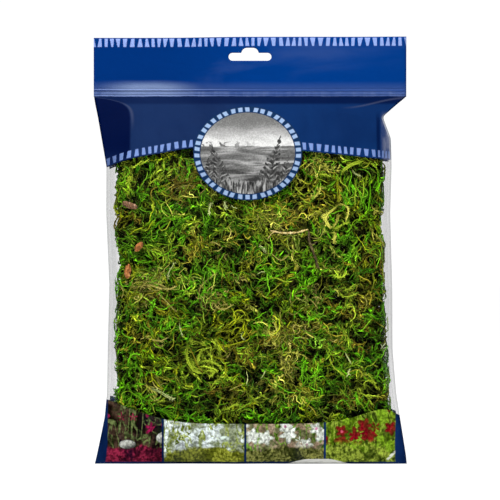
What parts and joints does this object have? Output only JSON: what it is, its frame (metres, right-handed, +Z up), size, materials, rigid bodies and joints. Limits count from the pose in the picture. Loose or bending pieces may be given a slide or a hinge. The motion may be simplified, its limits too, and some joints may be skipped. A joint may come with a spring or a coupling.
{
  "type": "bag of preserved forest moss",
  "caption": "Pressed green forest moss in a clear gusseted film bag with a plain printed header, hang slot, round emblem and printed foot",
  "frame": {"origin": "middle of the flat base that the bag stands on", "axes": "+Z up, the printed front faces -Y, +X to the right as seen from the front"},
  "size_m": [0.233, 0.064, 0.314],
  "materials": {
    "printed_film": "glossy printed film",
    "clear_film": "clear glossy film",
    "printed_foot_film": "glossy printed film",
    "moss_green": "matte, soft strands",
    "moss_olive": "matte, soft strands",
    "moss_bright": "matte, soft strands",
    "moss_deep": "matte, soft strands",
    "moss_yellow": "matte, soft strands",
    "moss_brown": "matte, soft strands",
    "dark_twig": "rough dry wood",
    "dry_straw": "dry stalk",
    "brown_leaf": "dry curled leaf",
    "bark": "rough dry bark"
  },
  "bodies": {
    "root": {"bag_header": "printed_film", "bag_window": "clear_film", "bag_foot": "printed_foot_film", "moss_front_1": "moss_green", "moss_front_2": "moss_olive", "moss_front_3": "moss_bright", "moss_front_4": "moss_deep", "moss_front_5": "moss_yellow", "moss_front_6": "moss_brown", "moss_front_7": "moss_green", "moss_front_8": "moss_olive", "moss_front_9": "moss_bright", "moss_front_10": "moss_deep", "moss_front_11": "moss_yellow", "moss_front_12": "moss_brown", "moss_back_1": "moss_green", "moss_back_2": "moss_olive", "moss_back_3": "moss_bright", "moss_back_4": "moss_deep", "moss_back_5": "moss_yellow", "moss_back_6": "moss_brown", "twig": "dark_twig", "straw": "dry_straw", "dry_leaf": "brown_leaf", "bark_flake_upper": "bark", "bark_flake_lower": "bark"}
  },
  "joints": []
}
